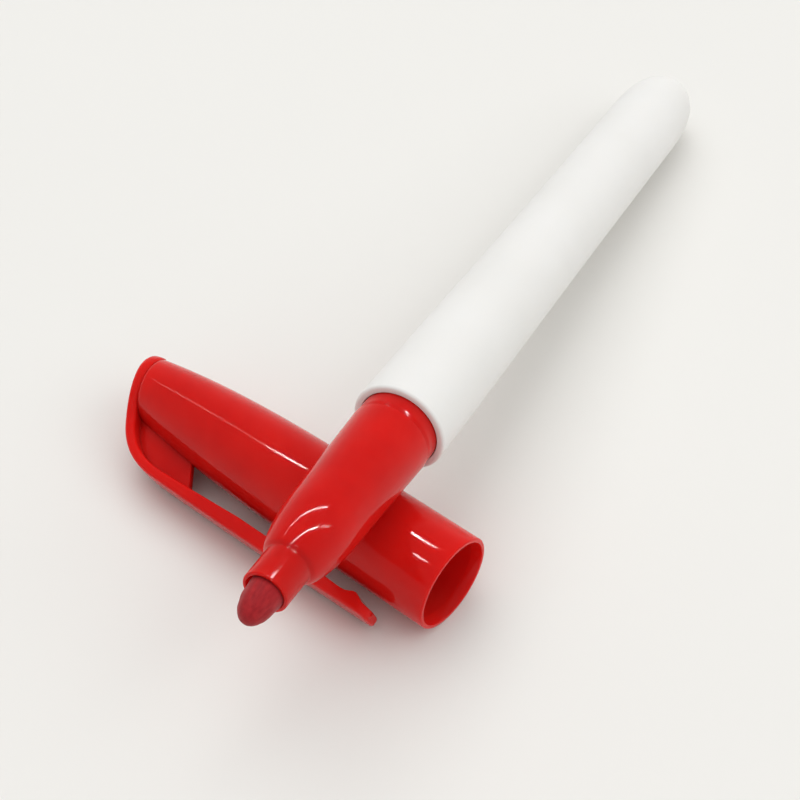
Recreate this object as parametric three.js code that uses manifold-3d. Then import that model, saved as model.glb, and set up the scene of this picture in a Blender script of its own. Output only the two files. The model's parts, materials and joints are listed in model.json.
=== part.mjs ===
// A slim bullet-tip whiteboard marker, uncapped and leaning on its own clip cap.
// Row frame: millimetres, +Z up, standing surface at Z = 0. The cap lies along Y with its mouth
// towards -Y. The marker crosses over it, nib towards -X and rear end towards +X.
import * as THREE from "three";
import { mergeVertices } from "three/addons/utils/BufferGeometryUtils.js";
import Module from "manifold-3d";

const wasm = await Module();
wasm.setup();

const degrees = THREE.MathUtils.degToRad;

// ---- Marker, measured from the nib's tip along its axis ----
const NIB_LENGTH_SHOWN = 4.4;
const NIB_RADIUS = 2.05;
const NIB_END = 52.3;
const TUBE_RADIUS = 2.75;
const TUBE_BORE = 2.35;
const SHOULDER_START = 8.7;
const SHOULDER_FOOT_RADIUS = 3.14;
const SHOULDER_TOP = 17.3;
const SHOULDER_TOP_RADIUS = 4.68;
const BODY_RADIUS = 5.14;
const BODY_END = 31.6;
const NECK_RADIUS = 4.8;
const BARREL_START = 33.8;
const BARREL_FRONT_RADIUS = 6;
const BARREL_REAR_RADIUS = 5.61;
const BARREL_WALL = 0.9;
const DOME_START = 113.05;
const MARKER_LENGTH = 124.9;
const PLUG_END = 42.3;
const SOCKET_END = 18.3;
const CORE_START = 43.3;
const CORE_END = 114.3;
const CORE_RADIUS = 3.6;
const WRAP_THICKNESS = 0.25;
const FIT_GAP = 0.3;
const SWELL_LENGTH = 34;

// ---- Cap, measured from its mouth along its axis ----
const CAP_RADIUS = 6.1;
const CAP_WALL = 0.85;
const CAP_STRAIGHT = 10;
const TAPER_LENGTH = 40;
const TAPER_DEPTH = 2.2;
const TAPER_POWER = 3.2;
const CAP_LENGTH = 51.7;
const CAP_BODY_END = 50.6;
const CAP_CAVITY_END = 46.4;
const CROWN_RADIUS = 3.85;
const CROWN_THICKNESS = 2.2;
const CROWN_TILT = 0.26;
const BEND_START = 39.5;
const CLIP_HALF_WIDTH = 2.6;
const CLIP_OUTER = 9.9;
const CLIP_THICKNESS = 1.6;
const CLIP_ROOT = 36.5;
const CLIP_ROOT_GAP = 0.3;
const CLIP_KNEE = 24;
const CLIP_TIP = 5.4;
const CLIP_TIP_CORNER = 1.6;
const CLIP_DROP = degrees(20);
const WEB_THICKNESS = 1.1;
const SEAL_LIP = 23;
const SEAL_END = 45.8;
const SEAL_WALL = 0.7;

// ---- How the marker lies on its cap ----
const CROSSING_ON_CAP = 13;
const CROSSING_ON_MARKER = 26;
const CROSSING_SKEW = degrees(11.2);
const CAP_YAW = degrees(0.62);
const BODY_RADIUS_AT_CROSSING = 4.97;
const RESTING_GAP = 0.1;

// ---- Materials ----
const whitePlastic = new THREE.MeshStandardMaterial({ color: 0xecebe7, roughness: 0.32, metalness: 0 });
const redPlastic = new THREE.MeshStandardMaterial({ color: 0xc8181e, roughness: 0.18, metalness: 0 });
const sealPlastic = new THREE.MeshStandardMaterial({ color: 0xb3161b, roughness: 0.45, metalness: 0 });
const redFelt = new THREE.MeshStandardMaterial({ color: 0x8f1a24, roughness: 0.95, metalness: 0 });
const inkFibre = new THREE.MeshStandardMaterial({ color: 0xa01822, roughness: 1, metalness: 0 });
const clearFilm = new THREE.MeshStandardMaterial({ color: 0xdad6d2, roughness: 0.25, metalness: 0 });

// ---- Helpers ----

// A solid turned about Y from [along, radius] pairs, whose outside wall runs towards +Y.
// A profile that doesn't start and end on the axis is closed on itself.
function turned(profile, segments) {
  const points = profile.map(([along, radius]) => new THREE.Vector2(radius, along));
  if (profile[0][1] > 0) {
    points.push(points[0].clone());
  }
  return new THREE.LatheGeometry(points, segments);
}

// Points of a round corner, as [along, radius] pairs, from one angle to another.
function roundCorner(along, radius, size, from, to, steps) {
  return Array.from({ length: steps + 1 }, (_, i) => {
    const angle = degrees(from + ((to - from) * i) / steps);
    return [along + size * Math.cos(angle), radius + size * Math.sin(angle)];
  });
}

// Points of a Bezier curve between [along, radius] pairs, its first point left out.
function curvePoints(start, handle1, handle2, end, steps) {
  const points = [start, handle1, handle2, end].map((pair) => new THREE.Vector2(...pair));
  return new THREE.CubicBezierCurve(...points).getPoints(steps).slice(1).map((p) => p.toArray());
}

// Evenly spaced places along an axis, both ends included.
function stations(from, to, steps) {
  return Array.from({ length: steps + 1 }, (_, i) => from + ((to - from) * i) / steps);
}

// A flat outline in X and Y, extruded evenly to both sides of Z = 0.
function slab(shape, thickness, curveSegments = 10) {
  const geometry = new THREE.ExtrudeGeometry(shape, {
    depth: thickness, bevelEnabled: false, curveSegments,
  });
  return geometry.translate(0, 0, -thickness / 2);
}

function toSolid(geometry) {
  const bare = geometry.clone();
  bare.deleteAttribute("normal");
  bare.deleteAttribute("uv");
  const merged = mergeVertices(bare, 1e-5);
  return new wasm.Manifold(new wasm.Mesh({
    numProp: 3,
    vertProperties: new Float32Array(merged.attributes.position.array),
    triVerts: new Uint32Array(merged.index.array),
  }));
}

function toGeometry(solid) {
  const mesh = solid.getMesh();
  const geometry = new THREE.BufferGeometry();
  geometry.setAttribute("position", new THREE.BufferAttribute(mesh.vertProperties, 3));
  geometry.setIndex(new THREE.BufferAttribute(mesh.triVerts, 1));
  geometry.computeVertexNormals();
  return geometry;
}

function named(name, geometry, material) {
  const mesh = new THREE.Mesh(geometry, material);
  mesh.name = name;
  return mesh;
}

// ---- Marker pieces, turned about Y with the nib's tip at the origin ----

// The barrel swells a little towards its mouth.
function barrelRadius(along) {
  const swell = BARREL_FRONT_RADIUS - BARREL_REAR_RADIUS;
  return BARREL_REAR_RADIUS + swell * Math.exp(-(((along - BARREL_START) / SWELL_LENGTH) ** 2));
}

// The rear end's blunt bullet shape, as a superellipse that starts at full radius.
function domeProfile(start, end, radius, steps) {
  return Array.from({ length: steps + 1 }, (_, i) => {
    const angle = (Math.PI / 2) * (i / steps);
    const along = start + (end - start) * Math.sin(angle) ** 0.8;
    return [along, i === steps ? 0 : radius * Math.cos(angle) ** 0.8];
  });
}

function makeDome() {
  return domeProfile(DOME_START, MARKER_LENGTH, BARREL_REAR_RADIUS, 10);
}

function makeBarrel() {
  const middle = stations(BARREL_START + 12, BARREL_START + 60, 4);
  const outer = middle.map((along) => [along, barrelRadius(along)]);
  const inner = outer.map(([along, radius]) => [along, radius - BARREL_WALL]).reverse();
  const innerRear = BARREL_REAR_RADIUS - BARREL_WALL;
  const innerDome = domeProfile(DOME_START, MARKER_LENGTH - 2 * BARREL_WALL, innerRear, 6);
  return turned([
    ...innerDome.reverse(),
    ...inner,
    [BARREL_START + 0.3, BARREL_FRONT_RADIUS - BARREL_WALL],
    [BARREL_START, BARREL_FRONT_RADIUS - BARREL_WALL + 0.1],
    ...roundCorner(BARREL_START + 0.3, BARREL_FRONT_RADIUS - 0.3, 0.3, 180, 90, 3),
    ...outer,
    ...makeDome(),
  ], 56);
}

function makeFrontSection() {
  const tubeEnd = [SHOULDER_START, TUBE_RADIUS];
  const shoulderFoot = [SHOULDER_START + 0.6, SHOULDER_FOOT_RADIUS];
  const shoulderTop = [SHOULDER_TOP, SHOULDER_TOP_RADIUS];
  const plugRadius = BARREL_FRONT_RADIUS - BARREL_WALL - FIT_GAP - 0.1;
  const plugBore = CORE_RADIUS + 0.2;
  return turned([
    [NIB_LENGTH_SHOWN + 0.15, TUBE_BORE],
    ...roundCorner(NIB_LENGTH_SHOWN + 0.25, TUBE_RADIUS - 0.3, 0.25, 180, 90, 3),
    [NIB_LENGTH_SHOWN + 1, TUBE_RADIUS],
    tubeEnd,
    ...curvePoints(tubeEnd, [9, 2.78], [9.1, 2.95], shoulderFoot, 2),
    ...curvePoints(shoulderFoot, [9.92, 3.8], [13.3, 4.64], shoulderTop, 8),
    ...curvePoints(shoulderTop, [21.8, 4.77], [27.3, 4.97], [BODY_END - 0.6, BODY_RADIUS - 0.02], 2),
    ...roundCorner(BODY_END - 0.2, BODY_RADIUS - 0.2, 0.2, 90, 0, 3),
    [BODY_END + 0.1, NECK_RADIUS],
    [BARREL_START + 0.5, NECK_RADIUS],
    [BARREL_START + 0.7, plugRadius],
    [PLUG_END - 0.5, plugRadius],
    [PLUG_END, plugRadius - 0.3],
    [PLUG_END, plugBore],
    [SOCKET_END, plugBore],
    [SOCKET_END - 3, TUBE_BORE],
  ], 48);
}

function makeNib() {
  return turned([
    [0, 0],
    ...curvePoints([0, 0], [0, 1.2], [1.5, NIB_RADIUS], [NIB_LENGTH_SHOWN, NIB_RADIUS], 8),
    [NIB_END - 1, NIB_RADIUS],
    [NIB_END, NIB_RADIUS - 0.6],
    [NIB_END, 0],
  ], 32);
}

function makeInkCore() {
  const nibHole = NIB_RADIUS + FIT_GAP;
  return turned([
    [NIB_END + 0.5, 0],
    [NIB_END + 0.5, nibHole],
    [CORE_START, nibHole],
    [CORE_START, CORE_RADIUS],
    [CORE_END, CORE_RADIUS],
    [CORE_END, 0],
  ], 36);
}

function makeInkWrap() {
  const inside = CORE_RADIUS + FIT_GAP;
  return turned([
    [CORE_START + 0.3, inside],
    [CORE_START + 0.3, inside + WRAP_THICKNESS],
    [CORE_END - 0.6, inside + WRAP_THICKNESS],
    [CORE_END - 0.6, inside],
  ], 40);
}

// ---- Cap pieces: Y runs from the mouth to the crown, X points at the clip ----

// Parallel near the mouth, then drawn in faster and faster towards the crown.
function capRadius(along) {
  const share = Math.max(0, along - CAP_STRAIGHT) / TAPER_LENGTH;
  return CAP_RADIUS - TAPER_DEPTH * share ** TAPER_POWER;
}

// The side view of the crown plate and of the strip that it bends into.
function crownSideView() {
  const inner = CLIP_OUTER - CLIP_THICKNESS;
  const root = CLIP_ROOT + CLIP_ROOT_GAP / 2;
  const far = -CROWN_RADIUS - 0.1;
  const shape = new THREE.Shape();
  shape.moveTo(far, CAP_LENGTH);
  shape.lineTo(far, CAP_LENGTH - CROWN_THICKNESS);
  shape.lineTo(3.1, 48);
  shape.bezierCurveTo(5.5, 46.8, inner, 43.6, inner, BEND_START);
  shape.lineTo(inner, root);
  shape.lineTo(CLIP_OUTER, root);
  shape.lineTo(CLIP_OUTER, BEND_START);
  shape.bezierCurveTo(CLIP_OUTER, 45, 7, 47.6, 3, 49.5);
  shape.bezierCurveTo(1, 50.35, -1.7, 51.2, far, CAP_LENGTH);
  return shape;
}

// The crown plate seen along the cap's axis: a disc that narrows into the strip.
function crownPlan() {
  const joinAngle = degrees(55);
  const joinX = CROWN_RADIUS * Math.cos(joinAngle);
  const joinZ = CROWN_RADIUS * Math.sin(joinAngle);
  const shape = new THREE.Shape();
  shape.moveTo(CLIP_OUTER + 1, -CLIP_HALF_WIDTH);
  shape.lineTo(CLIP_OUTER + 1, CLIP_HALF_WIDTH);
  shape.lineTo(6, CLIP_HALF_WIDTH);
  shape.quadraticCurveTo(joinX + 0.9, CLIP_HALF_WIDTH, joinX, joinZ);
  shape.absarc(0, 0, CROWN_RADIUS, joinAngle, 2 * Math.PI - joinAngle, false);
  shape.quadraticCurveTo(joinX + 0.9, -CLIP_HALF_WIDTH, 6, -CLIP_HALF_WIDTH);
  shape.closePath();
  return shape;
}

// The gusset that stands between the cap's side and the bend of the clip.
function makeWeb() {
  const attached = CLIP_OUTER - CLIP_THICKNESS / 2;
  const shape = new THREE.Shape();
  shape.moveTo(3, 39.2);
  shape.lineTo(CLIP_OUTER - CLIP_THICKNESS, CLIP_ROOT + CLIP_ROOT_GAP / 2);
  shape.lineTo(attached, CLIP_ROOT + CLIP_ROOT_GAP / 2);
  shape.lineTo(attached, BEND_START);
  shape.lineTo(6.6, 45.9);
  shape.lineTo(3, 48.4);
  shape.closePath();
  return toSolid(slab(shape, WEB_THICKNESS));
}

// Everything on the mouth's side of a tilted plane that lies inside the crown plate.
function makeCrownTrim() {
  const planeAt = (x) => CAP_LENGTH - CROWN_THICKNESS - CROWN_TILT * x;
  const reach = 12;
  const shape = new THREE.Shape();
  shape.moveTo(-reach, -1);
  shape.lineTo(reach, -1);
  shape.lineTo(reach, planeAt(reach));
  shape.lineTo(-reach, planeAt(-reach));
  shape.closePath();
  return toSolid(slab(shape, 2 * reach));
}

function makeCapShell() {
  const body = turned([
    [0, 0],
    [0, CAP_RADIUS - 0.25],
    ...roundCorner(0.25, CAP_RADIUS - 0.25, 0.25, 180, 90, 3),
    ...stations(CAP_STRAIGHT, CAP_BODY_END, 11).map((along) => [along, capRadius(along)]),
    [CAP_BODY_END, 0],
  ], 56);
  const cavityWall = stations(CAP_STRAIGHT, CAP_CAVITY_END - 0.6, 9);
  const cavity = turned([
    [-1, 0],
    [-1, CAP_RADIUS - CAP_WALL],
    ...cavityWall.map((along) => [along, capRadius(along) - CAP_WALL]),
    [CAP_CAVITY_END, capRadius(CAP_CAVITY_END) - CAP_WALL - 0.7],
    [CAP_CAVITY_END, 0],
  ], 56);

  const sideView = toSolid(slab(crownSideView(), 2 * CROWN_RADIUS + 1));
  const plan = toSolid(slab(crownPlan(), 40, 14).rotateX(Math.PI / 2).translate(0, CAP_LENGTH, 0));
  const crown = sideView.intersect(plan);
  const tube = toSolid(body).intersect(makeCrownTrim());
  return toGeometry(tube.add(crown).add(makeWeb()).subtract(toSolid(cavity)));
}

function sealRadius(along) {
  return capRadius(along) - CAP_WALL - FIT_GAP;
}

function makeSealCup() {
  const outer = stations(SEAL_LIP, SEAL_END - 0.6, 6).map((along) => [along, sealRadius(along)]);
  const innerWall = stations(SEAL_LIP, SEAL_END - 1.6, 5);
  const inner = innerWall.map((along) => [along, sealRadius(along) - SEAL_WALL]);
  return turned([
    [SEAL_END - 1.2, 0],
    ...inner.reverse(),
    ...outer,
    [SEAL_END, sealRadius(SEAL_END) - 0.6],
    [SEAL_END, 0],
  ], 40);
}

// The clip seen from its side, with the grip bead near its tip.
function clipSideView() {
  const root = CLIP_ROOT - CLIP_ROOT_GAP / 2;
  const shape = new THREE.Shape();
  shape.moveTo(CLIP_OUTER, root);
  shape.quadraticCurveTo(CLIP_OUTER, 25, 9.55, 15);
  shape.lineTo(9.35, 7);
  shape.quadraticCurveTo(9.3, CLIP_TIP, 8.7, CLIP_TIP);
  shape.quadraticCurveTo(8.1, CLIP_TIP, 8.1, 6.5);
  shape.quadraticCurveTo(7.5, 7.4, 7.4, 8.3);
  shape.quadraticCurveTo(7.45, 9.4, 7.85, 10);
  shape.lineTo(8.05, CLIP_KNEE);
  shape.lineTo(CLIP_OUTER - CLIP_THICKNESS, root);
  shape.closePath();
  return shape;
}

// The clip seen from outside, with its tip's two corners rounded.
function clipPlan() {
  const beyond = CLIP_HALF_WIDTH + 1;
  const cornerX = CLIP_HALF_WIDTH - CLIP_TIP_CORNER;
  const cornerY = CLIP_TIP + CLIP_TIP_CORNER;
  const shape = new THREE.Shape();
  shape.moveTo(beyond, CLIP_ROOT + 1);
  shape.lineTo(-beyond, CLIP_ROOT + 1);
  shape.lineTo(-beyond, cornerY);
  shape.lineTo(-CLIP_HALF_WIDTH, cornerY);
  shape.absarc(-cornerX, cornerY, CLIP_TIP_CORNER, Math.PI, 1.5 * Math.PI, false);
  shape.absarc(cornerX, cornerY, CLIP_TIP_CORNER, 1.5 * Math.PI, 2 * Math.PI, false);
  shape.lineTo(beyond, cornerY);
  shape.closePath();
  return shape;
}

function makeClip() {
  const arm = toSolid(slab(clipSideView(), 2 * CLIP_HALF_WIDTH, 6));
  const plan = toSolid(slab(clipPlan(), 6, 8).rotateY(Math.PI / 2).translate(9, 0, 0));
  return toGeometry(arm.intersect(plan));
}

// ---- Assembly ----

const cap = new THREE.Group();
cap.position.z = CAP_RADIUS;
cap.rotation.set(0, Math.PI - CLIP_DROP, CAP_YAW, "ZYX");
cap.add(
  named("cap_shell", makeCapShell(), redPlastic),
  named("clip", makeClip(), redPlastic),
  named("seal_cup", makeSealCup(), sealPlastic),
);

// The marker's axis height where its dome starts, when the dome's underside touches the surface.
function restingHeight(lean) {
  const reach = ([at, radius]) => radius * Math.cos(lean) + (at - DOME_START) * Math.sin(lean);
  return Math.max(...makeDome().map(reach));
}

// The marker's front section rests on top of the cap, and its rear end on the surface.
const heightOverCap = 2 * CAP_RADIUS + BODY_RADIUS_AT_CROSSING + RESTING_GAP;
let lean = 0;
for (let round = 0; round < 6; round += 1) {
  lean = Math.asin((heightOverCap - restingHeight(lean)) / (DOME_START - CROSSING_ON_MARKER));
}
const along = new THREE.Vector3(
  Math.cos(lean) * Math.cos(CROSSING_SKEW), Math.cos(lean) * Math.sin(CROSSING_SKEW), -Math.sin(lean),
);
const marker = new THREE.Group();
marker.quaternion.setFromUnitVectors(new THREE.Vector3(0, 1, 0), along);
marker.position.set(0, CROSSING_ON_CAP, heightOverCap).addScaledVector(along, -CROSSING_ON_MARKER);
marker.add(
  named("barrel", makeBarrel(), whitePlastic),
  named("front_section", makeFrontSection(), redPlastic),
  named("nib", makeNib(), redFelt),
  named("ink_core", makeInkCore(), inkFibre),
  named("ink_wrap", makeInkWrap(), clearFilm),
);

// The row's origin is the middle of the part's box, on the surface it stands on.
const part = new THREE.Group();
part.add(cap, marker);
part.updateMatrixWorld(true);
const box = new THREE.Box3().setFromObject(part, true);
part.position.set(-(box.min.x + box.max.x) / 2, -(box.min.y + box.max.y) / 2, -box.min.z);

export default part;
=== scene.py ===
import json
import math

import bmesh
import bpy
import numpy as np
from mathutils import Matrix, Vector, noise
from mathutils.geometry import interpolate_bezier


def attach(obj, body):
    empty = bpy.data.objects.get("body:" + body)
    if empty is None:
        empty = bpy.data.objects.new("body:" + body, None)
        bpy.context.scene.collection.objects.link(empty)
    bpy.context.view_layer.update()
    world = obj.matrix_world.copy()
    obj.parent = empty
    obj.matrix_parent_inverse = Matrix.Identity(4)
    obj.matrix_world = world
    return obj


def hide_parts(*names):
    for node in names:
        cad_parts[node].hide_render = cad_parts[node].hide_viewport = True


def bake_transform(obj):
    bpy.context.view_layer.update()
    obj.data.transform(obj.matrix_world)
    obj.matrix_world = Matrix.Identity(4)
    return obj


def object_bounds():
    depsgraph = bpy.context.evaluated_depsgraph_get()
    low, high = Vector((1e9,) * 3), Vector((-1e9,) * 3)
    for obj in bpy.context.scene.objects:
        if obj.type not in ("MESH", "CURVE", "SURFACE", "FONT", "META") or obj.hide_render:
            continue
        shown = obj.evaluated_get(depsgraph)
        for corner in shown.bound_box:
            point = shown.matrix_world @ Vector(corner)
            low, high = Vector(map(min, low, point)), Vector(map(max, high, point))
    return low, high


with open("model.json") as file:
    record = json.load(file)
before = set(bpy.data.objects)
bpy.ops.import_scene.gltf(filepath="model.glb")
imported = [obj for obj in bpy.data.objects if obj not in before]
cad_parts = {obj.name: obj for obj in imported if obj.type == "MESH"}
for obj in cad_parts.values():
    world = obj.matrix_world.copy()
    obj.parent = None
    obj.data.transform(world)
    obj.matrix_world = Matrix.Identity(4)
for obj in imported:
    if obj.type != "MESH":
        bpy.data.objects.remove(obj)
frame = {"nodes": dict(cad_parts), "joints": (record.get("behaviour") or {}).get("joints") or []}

cad_low, cad_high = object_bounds()
centre = (cad_low + cad_high) / 2
MM = 0.001

# ---- Camera: the angle that the object is seen from, and where it aims ----
AZIMUTH = math.radians(-49.88)
ELEVATION = math.radians(48.43)
ROLL = math.radians(-0.77)
DISTANCE = 193.95 * MM
AIM = centre + Vector((-16.708, -2.241, 5 - centre.z / MM)) * MM
LENS = 67.5


def add_camera():
    flat = math.cos(ELEVATION)
    back = Vector((math.sin(AZIMUTH) * flat, -math.cos(AZIMUTH) * flat, math.sin(ELEVATION)))
    data = bpy.data.cameras.new("camera")
    data.lens = LENS
    data.sensor_width = 36
    data.clip_start = 0.01
    data.clip_end = 20
    camera = bpy.data.objects.new("camera", data)
    camera.location = AIM + back * DISTANCE
    turn = (-back).to_track_quat("-Z", "Y").to_matrix() @ Matrix.Rotation(ROLL, 3, "Z")
    camera.rotation_euler = turn.to_euler()
    bpy.context.collection.objects.link(camera)
    bpy.context.scene.camera = camera


add_camera()


# ---- Frames: local Z runs along a turned piece's axis, local X points at its clip or upwards ----

def corners(node):
    """A CAD node's separate corners, as an array of points in the row frame."""
    points = [vertex.co[:] for vertex in frame["nodes"][node].data.vertices]
    return np.unique(np.round(points, 7), axis=0)


def axis_frame(origin, along, towards):
    z_axis = along.normalized()
    x_axis = (towards - z_axis * towards.dot(z_axis)).normalized()
    y_axis = z_axis.cross(x_axis)
    turn = Matrix((x_axis, y_axis, z_axis)).transposed().to_4x4()
    return Matrix.Translation(origin) @ turn


def axis_of(node, ahead):
    """A point on a turned node's axis, and the axis's direction, which points ahead."""
    points = corners(node)
    along = Vector(np.linalg.svd(points - points.mean(0), full_matrices=False)[2][0])
    if along.dot(ahead) < 0:
        along.negate()
    return Vector(points.mean(0)), along


def marker_frame():
    """From the nib's tip towards the rear end."""
    along = axis_of("ink_core", Vector((1, 0, 0)))[1]
    tip = min((Vector(point) for point in corners("nib")), key=along.dot)
    return axis_frame(tip, along, Vector((0, 0, 1)))


def cap_frame():
    """From the middle of the cap's mouth towards its crown, with X towards the clip."""
    middle, along = axis_of("seal_cup", Vector((0, 1, 0)))
    start = min(Vector(point).dot(along) for point in corners("cap_shell"))
    mouth = middle + along * (start - middle.dot(along))
    flex = next(joint for joint in frame["joints"] if joint["name"] == "clip_flex")
    return axis_frame(mouth, along, Vector(flex["pos_m"]) - mouth)


MARKER = marker_frame()
CAP = cap_frame()


# ---- Outlines, in millimetres, as (along, radius) pairs ----

def rounded(corner_list, steps=6):
    """A polyline through (along, radius, rounding) corners, each cut to an arc of its rounding."""
    line = [Vector(corner_list[0][:2])]
    for before, corner, after in zip(corner_list, corner_list[1:], corner_list[2:]):
        point = Vector(corner[:2])
        back = (Vector(before[:2]) - point).normalized()
        on = (Vector(after[:2]) - point).normalized()
        half = back.angle(on) / 2
        if corner[2] == 0 or half > math.radians(89.5):
            line.append(point)
            continue
        middle = point + (back + on).normalized() * (corner[2] / math.sin(half))
        reach = corner[2] / math.tan(half)
        first = point + back * reach - middle
        last = point + on * reach - middle
        for step in range(steps + 1):
            line.append(middle + first.slerp(last, step / steps) * corner[2])
    line.append(Vector(corner_list[-1][:2]))
    return line


def curve(start, handle_1, handle_2, end, steps=12):
    """Points of a Bezier curve, its first one left out."""
    return [Vector(p[:2]) for p in interpolate_bezier(start, handle_1, handle_2, end, steps + 1)][1:]


# ---- Meshes ----

def new_object(name, bm, matrix):
    """Links a mesh whose corners are in millimetres in the given frame, moved to the row frame."""
    bmesh.ops.remove_doubles(bm, verts=bm.verts, dist=1e-4)
    bmesh.ops.recalc_face_normals(bm, faces=bm.faces)
    mesh = bpy.data.meshes.new(name)
    bm.to_mesh(mesh)
    bm.free()
    mesh.transform(matrix @ Matrix.Scale(MM, 4))
    mesh.shade_smooth()
    piece = bpy.data.objects.new(name, mesh)
    bpy.context.collection.objects.link(piece)
    return piece


def turned(name, profile, matrix, segments=128, shape=None):
    """Turns a profile about local Z. One that doesn't start on the axis is closed on itself.
    shape(radius, angle, along) may alter the radius."""
    bm = bmesh.new()
    rings = []
    for along, radius in profile:
        ring = []
        for i in range(segments):
            angle = 2 * math.pi * i / segments
            r = shape(radius, angle, along) if shape else radius
            ring.append(bm.verts.new((r * math.cos(angle), r * math.sin(angle), along)))
        rings.append(ring)
    closed = profile[0][1] > 0
    pairs = zip(rings, rings[1:] + rings[:1] if closed else rings[1:])
    for ring, following in pairs:
        for i in range(segments):
            j = (i + 1) % segments
            bm.faces.new((ring[i], ring[j], following[j], following[i]))
    return new_object(name, bm, matrix)


# ---- Marker ----

NIB_SHOWN = 4.4
NIB_RADIUS = 2.12
TUBE_RADIUS = 2.75
TUBE_BORE = 2.3
SHOULDER_START = 8.7
BODY_END = 31.6
BODY_RADIUS = 5.12
GROOVE_RADIUS = 4.8
NECK_RADIUS = 5.03
BARREL_START = 33.8
BARREL_FRONT = 6.0
BARREL_REAR = 5.605
BARREL_WALL = 0.9
DOME_START = 113.05
DOME_WALL = 1.8
MARKER_LENGTH = 124.9
PLUG_RADIUS = 4.72
PLUG_BORE = 3.8
PLUG_END = 42.3
NIB_END = 52.3
CORE_START = 43.3
CORE_SOCKET_END = 52.8
CORE_SOCKET_RADIUS = 2.3
CORE_RADIUS = 3.6
CORE_END = 114.3
WRAP_START = 43.6
WRAP_END = 113.7
WRAP_INSIDE = 3.9
WRAP_OUTSIDE = 4.15


def barrel_radius(along):
    return BARREL_REAR + (BARREL_FRONT - BARREL_REAR) * math.exp(-(((along - BARREL_START) / 34) ** 2))


def dome(start, end, radius, steps=24):
    points = []
    for i in range(steps + 1):
        angle = math.pi / 2 * i / steps
        across = 0 if i == steps else radius * math.cos(angle) ** 0.8
        points.append(Vector((start + (end - start) * math.sin(angle) ** 0.8, across)))
    return points


def make_barrel():
    stations = [36 + 4 * i for i in range(20)]
    outside = [Vector((s, barrel_radius(s))) for s in stations]
    inside = [Vector((s, barrel_radius(s) - BARREL_WALL)) for s in reversed(stations)]
    inner_dome = dome(DOME_START, MARKER_LENGTH - DOME_WALL, BARREL_REAR - BARREL_WALL, 12)
    bore = BARREL_FRONT - BARREL_WALL
    mouth = rounded([
        (BARREL_START + 1, bore, 0),
        (BARREL_START, bore, 0.08),
        (BARREL_START, BARREL_FRONT, 0.4),
        (BARREL_START + 1, BARREL_FRONT, 0),
    ])
    outer_dome = dome(DOME_START, MARKER_LENGTH, BARREL_REAR)
    return turned("barrel_shell", inner_dome[::-1] + inside + mouth + outside + outer_dome, MARKER, 160)


def make_front_section():
    nose = rounded([
        (18.3, TUBE_BORE, 0),
        (NIB_SHOWN, TUBE_BORE, 0.1),
        (NIB_SHOWN, TUBE_RADIUS, 0.2),
        (SHOULDER_START + 0.32, TUBE_RADIUS + 0.02, 0.35),
        (SHOULDER_START + 0.6, 3.14, 0),
    ])
    shoulder = curve((9.3, 3.14), (9.92, 3.79), (13.3, 4.62), (17.3, 4.67), 22)
    body = curve((17.3, 4.67), (21.8, 4.76), (27.3, 4.97), (BODY_END - 0.6, BODY_RADIUS - 0.02), 8)
    rear = rounded([
        (BODY_END - 0.6, BODY_RADIUS - 0.02, 0),
        (BODY_END, BODY_RADIUS, 0.14),
        (BODY_END + 0.05, GROOVE_RADIUS, 0.1),
        (BODY_END + 0.7, NECK_RADIUS - 0.03, 0.5),
        (BARREL_START, NECK_RADIUS, 0.3),
        (BARREL_START + 1.5, NECK_RADIUS, 0.1),
        (BARREL_START + 1.7, PLUG_RADIUS, 0.1),
        (PLUG_END, PLUG_RADIUS, 0.3),
        (PLUG_END, PLUG_BORE, 0.1),
        (18.8, PLUG_BORE, 0.2),
        (16.8, TUBE_BORE, 0.2),
        (16.3, TUBE_BORE, 0),
    ])
    return turned("grip_section", nose[1:] + shoulder + body + rear[1:-1], MARKER)


NIB_LEAN = Vector((-0.1, 0.2, 0))


def nib_shape(radius, angle, along):
    """The pressed fibre tip is never quite round."""
    if radius == 0 or along > NIB_SHOWN + 3:
        return radius
    spot = Vector((math.cos(angle), math.sin(angle), along * 0.8))
    return radius * (1 + 0.035 * noise.noise(spot * 1.3) + 0.012 * noise.noise(spot * 4.1))


def make_nib():
    """A blunt bullet that leans a little in its bore."""
    tip = [Vector((0.12, 0))] + curve((0.12, 0), (0.12, 1.2), (1.5, 1.98), (NIB_SHOWN, NIB_RADIUS), 24)
    rear = rounded([(NIB_SHOWN, NIB_RADIUS, 0), (NIB_END, NIB_RADIUS, 0.6), (NIB_END, 0, 0)])
    nib = turned("felt_nib", tip + rear[1:], Matrix.Identity(4), 96, nib_shape)
    for vertex in nib.data.vertices:
        share = max(0, 1 - vertex.co.z / MM / (NIB_SHOWN + 4))
        vertex.co += NIB_LEAN * MM * share
    nib.data.transform(MARKER)
    return nib


def fibre_grooves(radius, angle, along):
    return radius * (1 + 0.012 * math.cos(36 * angle))


def make_ink_core():
    profile = rounded([
        (CORE_SOCKET_END, 0, 0),
        (CORE_SOCKET_END, CORE_SOCKET_RADIUS, 0.1),
        (CORE_START, CORE_SOCKET_RADIUS, 0.1),
        (CORE_START, CORE_RADIUS, 0.3),
        (CORE_END, CORE_RADIUS, 0.3),
        (CORE_END, 0, 0),
    ])
    return turned("fibre_core", profile, MARKER, 144, fibre_grooves)


def make_ink_wrap():
    profile = rounded([
        (80, WRAP_OUTSIDE, 0),
        (WRAP_START, WRAP_OUTSIDE, 0.08),
        (WRAP_START, WRAP_INSIDE, 0.08),
        (WRAP_END, WRAP_INSIDE, 0.08),
        (WRAP_END, WRAP_OUTSIDE, 0.08),
        (81, WRAP_OUTSIDE, 0),
    ])
    return turned("film_sleeve", profile[::-1], MARKER, 96)


# ---- Cap ----

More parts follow.
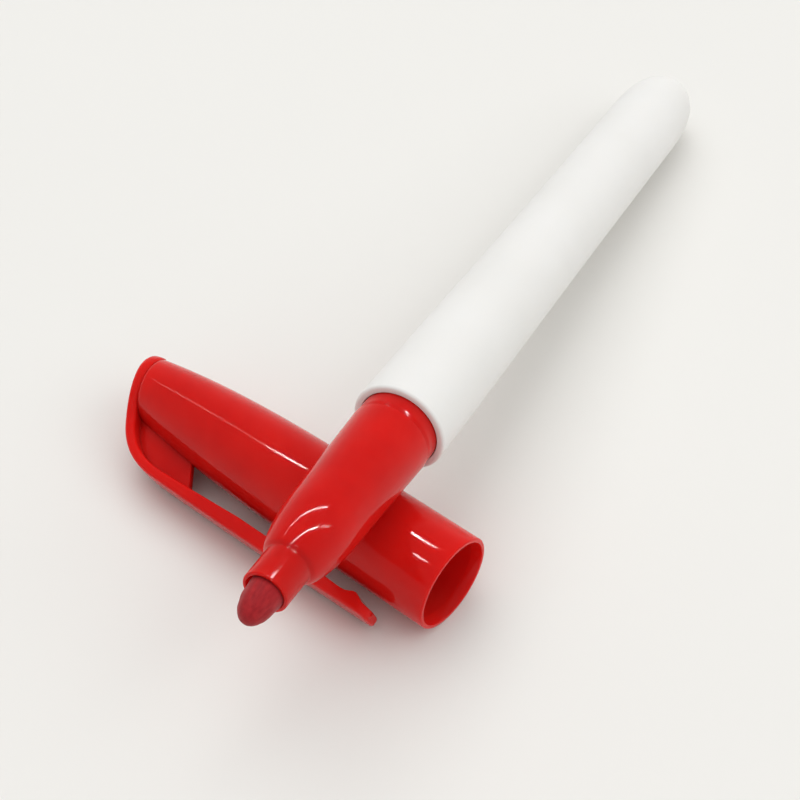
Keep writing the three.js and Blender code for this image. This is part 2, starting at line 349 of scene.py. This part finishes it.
CAP_RADIUS = 6.09
CAP_WALL = 0.85
TAPER_START = 10
TAPER_LENGTH = 40
TAPER_DEPTH = 2.2
TAPER_POWER = 3.2
CAP_BODY_END = 50
CAP_CAVITY_END = 46.4
CROWN_RADIUS = 3.75
CROWN_HEIGHT = 48.85
CROWN_SLOPE = 0.27
CROWN_ROUNDING = 0.7
CLIP_HALF_WIDTH = 2.6
NARROWING = 7
WEB_THICKNESS = 1.1
SEAL_START = 23
SEAL_END = 45.8
SEAL_WALL = 0.7
SEAL_GAP = 0.3


def cap_radius(along):
    return CAP_RADIUS - TAPER_DEPTH * (max(0, along - TAPER_START) / TAPER_LENGTH) ** TAPER_POWER


def end_cap_body(point):
    """Moves a point of the body's outside to where the body ends, in a round shoulder, under the
    tilted crown plate."""
    end = (CROWN_HEIGHT - CROWN_SLOPE * point.x / MM) * MM
    round_size = CROWN_ROUNDING * MM
    left = max(0, end - point.z)
    if point.z < CAP_CAVITY_END * MM + 0.5 * MM or left > round_size:
        return
    inset = round_size - math.sqrt(round_size ** 2 - (round_size - left) ** 2)
    size = math.hypot(point.x, point.y)
    if size > inset:
        point.x *= 1 - inset / size
        point.y *= 1 - inset / size
    point.z = min(point.z, end)


def make_cap_body():
    stations = [4 + 1.6 * i for i in range(26)] + [44.2 + 0.2 * i for i in range(29)]
    mouth = rounded([
        (3, CAP_RADIUS - CAP_WALL, 0),
        (1.4, CAP_RADIUS - CAP_WALL, 0.6),
        (0.02, CAP_RADIUS - 0.55, 0.12),
        (0.02, CAP_RADIUS, 0.22),
        (2, CAP_RADIUS, 0),
    ])
    outside = [Vector((s, cap_radius(s))) for s in stations]
    crown = [Vector((CAP_BODY_END, 0))]
    cavity = rounded([
        (CAP_CAVITY_END, 0, 0),
        (CAP_CAVITY_END, cap_radius(CAP_CAVITY_END) - CAP_WALL, 0.8),
        (44.5, cap_radius(44.5) - CAP_WALL, 0),
    ])
    inside = [Vector((s, cap_radius(s) - CAP_WALL)) for s in reversed(stations) if s < 44]
    piece = turned("cap_body", cavity + inside + mouth + outside + crown, Matrix.Identity(4), 160)
    for vertex in piece.data.vertices:
        end_cap_body(vertex.co)
    piece.data.transform(CAP)
    return piece


def make_seal_cup():
    def radius(along):
        return cap_radius(along) - CAP_WALL - SEAL_GAP

    stations = [24 + 2 * i for i in range(11)]
    inside = [Vector((s, radius(s) - SEAL_WALL)) for s in reversed(stations)]
    outside = [Vector((s, radius(s))) for s in stations]
    lip = rounded([
        (24, radius(24) - SEAL_WALL, 0),
        (SEAL_START, radius(SEAL_START) - SEAL_WALL, 0.3),
        (SEAL_START, radius(SEAL_START), 0.3),
        (24, radius(24), 0),
    ])
    end = rounded([(44, radius(44), 0), (SEAL_END, radius(SEAL_END), 0.6), (SEAL_END, 0, 0)])
    base = rounded([
        (44.6, 0, 0),
        (44.6, radius(44.6) - SEAL_WALL, 0.5),
        (44, radius(44) - SEAL_WALL, 0),
    ])
    return turned("inner_seal", base + inside[1:] + lip[1:-1] + outside + end[1:], CAP, 96)


class Strip:
    """The crown plate and the clip as one moulded strip, laid out flat and then bent.
    u runs along the strip from the crown's far edge, v across it, w out of it."""

    SPACING = 0.45
    ARCHING = 0.12
    BEAD_HEIGHT = 0.62
    BEAD_FROM_TIP = 2.9
    BEAD_SPREAD = 0.95
    TIP_CORNER = 1.7

    def __init__(self):
        line = [Vector((-3.75, 51.55))]
        line += curve((-3.75, 51.55), (-1.8, 51.15), (0.8, 50.4), (2.85, 49.45))
        line += curve((2.85, 49.45), (6.85, 47.6), (9.8, 45.0), (9.85, 39.5), 24)
        line += curve((9.85, 39.5), (9.88, 30), (9.85, 22), (9.55, 15), 24)
        line += curve((9.55, 15), (9.48, 12), (9.42, 8.5), (9.32, 5.45), 10)
        self.line = np.array([tuple(p) for p in line])
        steps = np.linalg.norm(np.diff(self.line, axis=0), axis=1)
        self.at = np.concatenate([[0], np.cumsum(steps)])
        self.length = self.at[-1]
        self.middle = self.find_middle()

    def find_middle(self):
        """u above the cap's own axis."""
        i = next(k for k in range(len(self.line)) if self.line[k, 0] >= 0)
        share = -self.line[i - 1, 0] / (self.line[i, 0] - self.line[i - 1, 0])
        return self.at[i - 1] + share * (self.at[i] - self.at[i - 1])

    def half_width(self, u):
        """Half a disc at the crown, which narrows smoothly to the arm."""
        if u < self.middle:
            width = CROWN_RADIUS * math.sqrt(max(0, 1 - ((u - self.middle) / self.middle) ** 2))
        else:
            share = min(1, (u - self.middle) / NARROWING)
            width = CROWN_RADIUS + (CLIP_HALF_WIDTH - CROWN_RADIUS) * share * share * (3 - 2 * share)
        left = self.length - u
        corner = self.TIP_CORNER
        if left < corner:
            width += math.sqrt(max(0, corner ** 2 - (corner - left) ** 2)) - corner
        return width

    def thickness(self, u):
        """The plate is a thick button at the crown, and the arm thins a little towards its tip."""
        points = [
            (0, 2.1), (4, 1.9), (8, 1.45), (14, 1.35), (20, 1.4), (26, 1.65), (33, 2.0), (44, 1.85),
            (self.length - 6, 1.6), (self.length, 1.3),
        ]
        return float(np.interp(u, [p[0] for p in points], [p[1] for p in points]))

    def bead(self, u):
        """How far the grip bead stands out of the arm's inner face."""
        off = (self.length - u - self.BEAD_FROM_TIP) / self.BEAD_SPREAD
        return self.BEAD_HEIGHT * math.exp(-(off ** 2))

    def place(self, u, v, w):
        x = np.interp(u, self.at, self.line[:, 0])
        z = np.interp(u, self.at, self.line[:, 1])
        step = 0.3
        low, high = max(0, u - step), min(self.length, u + step)
        run_x = float(np.diff(np.interp((low, high), self.at, self.line[:, 0]))[0])
        run_z = float(np.diff(np.interp((low, high), self.at, self.line[:, 1]))[0])
        size = math.hypot(run_x, run_z)
        return (x - run_z / size * w, v, z + run_x / size * w)

    def rounding(self, u):
        """The crown's button has a fuller edge than the arm."""
        return float(np.interp(u, [0, 4, 9], [0.75, 0.7, 0.35]))

    def edge_steps(self, u):
        return [self.rounding(u) * (1 - math.cos(math.radians(a))) for a in range(0, 91, 15)]

    def outline(self):
        us = np.linspace(0, self.length, 600)
        side = [(u, self.half_width(u)) for u in us]
        return np.array(side + [(u, -b) for u, b in reversed(side)])

    def build(self):
        first = self.edge_steps(0)
        last = [self.length - d for d in reversed(self.edge_steps(self.length))]
        between = np.arange(first[-1] + self.SPACING, last[0] - self.SPACING / 2, self.SPACING)
        stations = first + list(between) + last
        starts = self.outline()
        runs = np.roll(starts, -1, axis=0) - starts
        sizes = (runs ** 2).sum(1) + 1e-12

        def depth(u, v):
            """Distance from a point of the flat layout to its outline."""
            offset = np.array((u, v)) - starts
            share = np.clip((offset * runs).sum(1) / sizes, 0, 1)
            return math.sqrt(((offset - share[:, None] * runs) ** 2).sum(1).min())

        bm = bmesh.new()
        tops, bottoms = [], []
        for u in stations:
            width = self.half_width(u)
            edge = self.edge_steps(u)
            scale = min(1, width / edge[-1] * 0.5)
            margins = [d * scale for d in edge]
            inside = width - margins[-1]
            across = [-(width - d) for d in margins] + [inside * k / 4 for k in range(-3, 4)]
            across += [width - d for d in reversed(margins)]
            thick = self.thickness(u)
            rounding = min(self.rounding(u), thick * 0.46)
            top, bottom = [], []
            for v in across:
                d = min(depth(u, v), rounding)
                rise = thick / 2 - rounding + math.sqrt(rounding ** 2 - (rounding - d) ** 2)
                bump = self.bead(u) * min(1, d / rounding) ** 0.5
                arch = self.ARCHING * (v / width) ** 2 if width > 0.1 else 0
                top.append(bm.verts.new(self.place(u, v, -thick / 2 + rise - arch)))
                bottom.append(bm.verts.new(self.place(u, v, -thick / 2 - rise - bump)))
            tops.append(top)
            bottoms.append(bottom)
        columns = len(tops[0])
        for rows in (tops, bottoms):
            for row, following in zip(rows, rows[1:]):
                for i in range(columns - 1):
                    bm.faces.new((row[i], row[i + 1], following[i + 1], following[i]))
        for i in (0, columns - 1):
            for k in range(len(stations) - 1):
                bm.faces.new((tops[k][i], tops[k + 1][i], bottoms[k + 1][i], bottoms[k][i]))
        for k in (0, len(stations) - 1):
            for i in range(columns - 1):
                bm.faces.new((tops[k][i], tops[k][i + 1], bottoms[k][i + 1], bottoms[k][i]))
        return new_object("clip_strip", bm, CAP)


def make_web():
    """The thin gusset between the cap's side and the bend of the clip."""
    outline = [
        (3.0, 39.0), (5.7, 37.0), (8.5, 35.0), (9.0, 36.0),
        (9.0, 39.5), (7.7, 44.0), (5.8, 46.4), (3.0, 48.2),
    ]
    bm = bmesh.new()
    near, far = (
        [bm.verts.new((x, y, z)) for x, z in outline] for y in (-WEB_THICKNESS / 2, WEB_THICKNESS / 2)
    )
    bm.faces.new(near)
    bm.faces.new(far[::-1])
    for i in range(len(outline)):
        j = (i + 1) % len(outline)
        bm.faces.new((near[j], near[i], far[i], far[j]))
    piece = new_object("clip_web", bm, CAP)
    bevel = piece.modifiers.new("bevel", "BEVEL")
    bevel.width = 0.15 * MM
    bevel.segments = 3
    piece.modifiers.new("normals", "WEIGHTED_NORMAL")
    return piece


# ---- Materials ----

def new_material(name, settings):
    """A material with values set on its shader's own sockets."""
    material = bpy.data.materials.new(name)
    material.use_nodes = True
    shader = material.node_tree.nodes["Principled BSDF"]
    for socket, value in settings.items():
        shader.inputs[socket].default_value = value
    return material


class Graph:
    """Short names for adding nodes to a material. Patterns are laid out in the given frame's axes."""

    def __init__(self, material, axes=None):
        self.tree = material.node_tree
        self.shader = self.tree.nodes["Principled BSDF"]
        self.turn = (axes or Matrix.Identity(4)).to_euler()
        self.where = self.add("ShaderNodeTexCoord").outputs["Object"]

    def add(self, kind, **values):
        node = self.tree.nodes.new(kind)
        for key, value in values.items():
            setattr(node, key, value)
        return node

    def link(self, source, target):
        self.tree.links.new(source, target)

    def noise(self, scale, detail=3, stretch=1, rough=0.5):
        """Noise, drawn out stretch times along the frame's local Z."""
        mapping = self.add("ShaderNodeMapping", vector_type="TEXTURE")
        mapping.inputs["Rotation"].default_value = self.turn
        mapping.inputs["Scale"].default_value = (1, 1, stretch)
        self.link(self.where, mapping.inputs["Vector"])
        node = self.add("ShaderNodeTexNoise")
        node.inputs["Scale"].default_value = scale
        node.inputs["Detail"].default_value = detail
        node.inputs["Roughness"].default_value = rough
        self.link(mapping.outputs["Vector"], node.inputs["Vector"])
        return node.outputs["Fac"]

    def span(self, source, low, high, to_low, to_high):
        node = self.add("ShaderNodeMapRange")
        sockets = ("From Min", "From Max", "To Min", "To Max")
        for socket, value in zip(sockets, (low, high, to_low, to_high)):
            node.inputs[socket].default_value = value
        self.link(source, node.inputs["Value"])
        return node.outputs["Result"]

    def mix(self, share, first, second):
        node = self.add("ShaderNodeMix", data_type="RGBA")
        self.link(share, node.inputs["Factor"])
        node.inputs["A"].default_value = (*first, 1)
        node.inputs["B"].default_value = (*second, 1)
        return node.outputs["Result"]

    def bumps(self, layers):
        """Chains (height, strength, distance in millimetres) bumps."""
        normal = None
        for height, strength, distance in layers:
            node = self.add("ShaderNodeBump")
            node.inputs["Strength"].default_value = strength
            node.inputs["Distance"].default_value = distance * MM
            self.link(height, node.inputs["Height"])
            if normal:
                self.link(normal, node.inputs["Normal"])
            normal = node.outputs["Normal"]
        self.link(normal, self.shader.inputs["Normal"])


def mix_colours(graph, share, first, second):
    graph.link(graph.mix(share, first, second), graph.shader.inputs["Base Color"])


def red_plastic():
    material = new_material("red_plastic", {
        "IOR": 1.49, "Specular IOR Level": 0.17, "Subsurface Weight": 0.6, "Subsurface Scale": 3 * MM,
        "Subsurface Radius": (1, 0.04, 0.03),
    })
    graph = Graph(material)
    mottle = graph.span(graph.noise(140, 3), 0.35, 0.65, 0, 1)
    mix_colours(graph, mottle, (0.56, 0.0085, 0.0070), (0.63, 0.0110, 0.0085))
    smudge = graph.span(graph.noise(420, 4, rough=0.6), 0.4, 0.75, 0.04, 0.09)
    graph.link(smudge, graph.shader.inputs["Roughness"])
    graph.bumps([(graph.noise(620, 2), 0.3, 0.014), (graph.noise(3800, 3), 0.06, 0.003)])
    return material


def seal_plastic():
    material = new_material("seal_plastic", {
        "IOR": 1.5, "Subsurface Weight": 0.1, "Subsurface Scale": 1.5 * MM,
    })
    graph = Graph(material)
    mix_colours(graph, graph.noise(200, 3), (0.30, 0.004, 0.006), (0.38, 0.006, 0.008))
    graph.link(graph.span(graph.noise(700, 4), 0.3, 0.7, 0.4, 0.55), graph.shader.inputs["Roughness"])
    graph.bumps([(graph.noise(3500, 4), 0.3, 0.01)])
    return material


def white_plastic():
    material = new_material("white_plastic", {
        "IOR": 1.49, "Specular IOR Level": 0.3, "Subsurface Weight": 0.15, "Subsurface Scale": 1.5 * MM,
        "Subsurface Radius": (1, 0.9, 0.8),
    })
    graph = Graph(material)
    mottle = graph.span(graph.noise(70, 3), 0.3, 0.7, 0, 1)
    mix_colours(graph, mottle, (0.80, 0.79, 0.765), (0.83, 0.82, 0.80))
    graph.link(graph.span(graph.noise(500, 4), 0.3, 0.7, 0.36, 0.48), graph.shader.inputs["Roughness"])
    graph.bumps([(graph.noise(400, 2), 0.15, 0.012), (graph.noise(5000, 3), 0.15, 0.005)])
    return material


def felt():
    material = new_material("ink_soaked_felt", {
        "IOR": 1.4, "Specular IOR Level": 0.3, "Sheen Weight": 0.1,
    })
    graph = Graph(material, MARKER)
    strands = graph.noise(2400, 4, 4, 0.6)
    mix_colours(graph, graph.span(strands, 0.3, 0.7, 0, 1), (0.27, 0.006, 0.011), (0.40, 0.014, 0.018))
    graph.link(graph.span(graph.noise(900, 3), 0.3, 0.7, 0.5, 0.7), graph.shader.inputs["Roughness"])
    graph.bumps([(strands, 0.5, 0.03), (graph.noise(8000, 3), 0.3, 0.01)])
    return material


def ink_fibre():
    material = new_material("ink_fibre", {"IOR": 1.4, "Sheen Weight": 0.2})
    graph = Graph(material, MARKER)
    strands = graph.noise(3200, 4, 20, 0.6)
    mix_colours(graph, graph.span(strands, 0.3, 0.7, 0, 1), (0.22, 0.006, 0.012), (0.45, 0.03, 0.04))
    graph.link(graph.span(strands, 0.3, 0.7, 0.6, 0.9), graph.shader.inputs["Roughness"])
    graph.bumps([(strands, 0.8, 0.05)])
    return material


def film():
    material = new_material("clear_film", {"IOR": 1.5, "Transmission Weight": 0.6})
    graph = Graph(material, MARKER)
    mix_colours(graph, graph.noise(120, 2), (0.72, 0.62, 0.60), (0.80, 0.76, 0.74))
    graph.link(graph.span(graph.noise(300, 3), 0.3, 0.7, 0.15, 0.3), graph.shader.inputs["Roughness"])
    graph.bumps([(graph.noise(160, 2, 5), 0.5, 0.03)])
    return material


# ---- Assembly ----

RED = red_plastic()


def finish_piece(piece, material, nodes):
    piece.data.materials.append(material)
    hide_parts(*nodes)
    return piece


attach(finish_piece(make_barrel(), white_plastic(), ["barrel"]), "marker")
section = finish_piece(make_front_section(), RED, ["front_section"])
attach(section, "marker")
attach(finish_piece(make_nib(), felt(), ["nib"]), "marker")
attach(finish_piece(make_ink_core(), ink_fibre(), ["ink_core"]), "marker")
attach(finish_piece(make_ink_wrap(), film(), ["ink_wrap"]), "marker")
body = finish_piece(make_cap_body(), RED, ["cap_shell"])
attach(body, "cap")
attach(finish_piece(make_web(), RED, ["cap_shell"]), "cap")
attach(finish_piece(make_seal_cup(), seal_plastic(), ["seal_cup"]), "cap")

strip = finish_piece(Strip().build(), RED, ["cap_shell", "clip"])
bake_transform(strip)


# ---- Floor, lamps and room ----

def add_floor():
    bm = bmesh.new()
    bmesh.ops.create_grid(bm, x_segments=1, y_segments=1, size=3000)
    floor = new_object("floor", bm, Matrix.Translation((0, 0, -0.00002)))
    material = new_material("pale_table", {"IOR": 1.45, "Roughness": 0.6, "Specular IOR Level": 0.25})
    graph = Graph(material)
    mix_colours(graph, graph.noise(8, 3), (0.80, 0.79, 0.76), (0.815, 0.805, 0.775))
    floor.data.materials.append(material)


def add_lamp(name, middle, size, strength, long_axis=Vector((1, 0, 0)), only=None):
    """A rectangular lamp that faces the object. size is (long, short) in metres and strength is in
    watts per square metre. A lamp with only is nothing but a reflection in those pieces, and a lamp
    without it is seen in no reflection."""
    data = bpy.data.lights.new(name, "AREA")
    data.shape = "RECTANGLE"
    data.size, data.size_y = size
    data.energy = strength * size[0] * size[1]
    lamp = bpy.data.objects.new(name, data)
    facing = middle.normalized()
    x_axis = (long_axis - facing * long_axis.dot(facing)).normalized()
    y_axis = facing.cross(x_axis)
    turn = Matrix((x_axis, y_axis, facing)).transposed().to_4x4()
    lamp.matrix_world = Matrix.Translation(middle) @ turn
    lamp.visible_glossy = bool(only)
    lamp.visible_diffuse = not only
    lamp.visible_transmission = not only
    lamp.visible_camera = False
    if only:
        lamp.light_linking.receiver_collection = only
    bpy.context.collection.objects.link(lamp)
    return lamp


CEILING = 2.0
TUBE_SHARE = 0.96


def add_tubes(name, stops, width, strength, only):
    """Strip lamps overhead, end to end. Each stop is a place on the ceiling, as slopes along X and
    Y from the row's origin."""
    places = [Vector((x, y, 1)) * CEILING for x, y in stops]
    for i, (start, end) in enumerate(zip(places, places[1:])):
        run = end - start
        size = (run.length * TUBE_SHARE, width)
        add_lamp(f"{name}_{i}", (start + end) / 2, size, strength, run.normalized(), only=only)


def group_of(name, *pieces):
    collection = bpy.data.collections.new(name)
    for piece in pieces:
        collection.objects.link(piece)
    return collection


def add_room():
    """A pale room, whose walls are dimmer in reflections than they look."""
    world = bpy.data.worlds.new("room")
    bpy.context.scene.world = world
    world.use_nodes = True
    tree = world.node_tree
    where = tree.nodes.new("ShaderNodeTexCoord").outputs["Generated"]
    split = tree.nodes.new("ShaderNodeSeparateXYZ")
    tree.links.new(where, split.inputs["Vector"])
    ramp = tree.nodes.new("ShaderNodeValToRGB")
    ramp.color_ramp.elements[0].position = 0.0
    ramp.color_ramp.elements[0].color = (0.72, 0.72, 0.70, 1)
    ramp.color_ramp.elements[1].position = 0.7
    ramp.color_ramp.elements[1].color = (0.34, 0.34, 0.34, 1)
    tree.links.new(split.outputs["Z"], ramp.inputs["Fac"])
    path = tree.nodes.new("ShaderNodeLightPath")
    mix = tree.nodes.new("ShaderNodeMix")
    mix.data_type = "RGBA"
    tree.links.new(path.outputs["Is Camera Ray"], mix.inputs["Factor"])
    tree.links.new(ramp.outputs["Color"], mix.inputs["A"])
    mix.inputs["B"].default_value = (0.86, 0.86, 0.84, 1)
    tree.links.new(mix.outputs["Result"], tree.nodes["Background"].inputs["Color"])


add_floor()
add_room()
add_lamp("window", Vector((0.8, 1.0, 2.3)), (2.4, 2.2), 4.2)
add_lamp("ceiling", Vector((0.3, 0.2, 2.4)), (5.0, 5.0), 2.0)
add_lamp("fill", Vector((0.6, -1.8, 1.6)), (2.2, 1.6), 3.8)

cap_pieces = group_of("lit_as_cap", body)
section_pieces = group_of("lit_as_section", section)

# (name, stops, width, strength): the highlights along the cap on both sides of the marker
CAP_TUBES = [
    ("cap_left", [(0.025, 0.607), (0.040, 0.591)], 0.05, 260),
    ("cap_left_b", [(0.052, 0.583), (0.070, 0.570)], 0.06, 290),
    ("cap_left_c", [(0.078, 0.565), (0.105, 0.550)], 0.07, 400),
    ("cap_left_d", [(0.112, 0.547), (0.146, 0.531)], 0.05, 240),
    ("cap_glow", [
        (-0.045, 1.137), (-0.015, 0.968), (0.005, 0.829), (0.03, 0.726), (0.045, 0.645), (0.025, 0.607),
    ], 0.12, 13),
    ("cap_right", [(0.225, 0.418), (0.252, 0.413)], 0.07, 470),
    ("cap_right_b", [(0.260, 0.412), (0.285, 0.407)], 0.07, 440),
    ("cap_right_c", [(0.292, 0.404), (0.302, 0.402)], 0.07, 340),
    ("cap_right_d", [(0.306, 0.400), (0.323, 0.397)], 0.06, 220),
    ("cap_hook", [(-0.376, 0.410), (-0.416, 0.408), (-0.360, 0.395)], 0.06, 130),
]
# the same for the two arcs around the front section's shoulder
SECTION_TUBES = [
    ("inner_arc", [
        (-0.283, 0.097), (0.044, 0.029), (0.231, -0.06), (0.353, -0.213), (0.486, -0.388),
    ], 0.06, 330),
    ("inner_tail", [(-0.65, -0.48), (-1.033, 0.137), (-0.283, 0.097)], 0.08, 80),
    ("inner_end", [(0.60, -0.56), (0.826, -0.932)], 0.08, 60),
    ("outer_arc", [(0.132, 0.977), (0.346, 0.772), (0.486, 0.387), (0.697, -0.119)], 0.06, 140),
    ("outer_tail", [(-0.232, 0.966), (0.132, 0.977)], 0.10, 20),
]
for tubes, pieces in ((CAP_TUBES, cap_pieces), (SECTION_TUBES, section_pieces)):
    for name, stops, width, strength in tubes:
        add_tubes(name, stops, width, strength, pieces)

scene = bpy.context.scene
scene.view_settings.view_transform = "Standard"
scene.view_settings.look = "None"
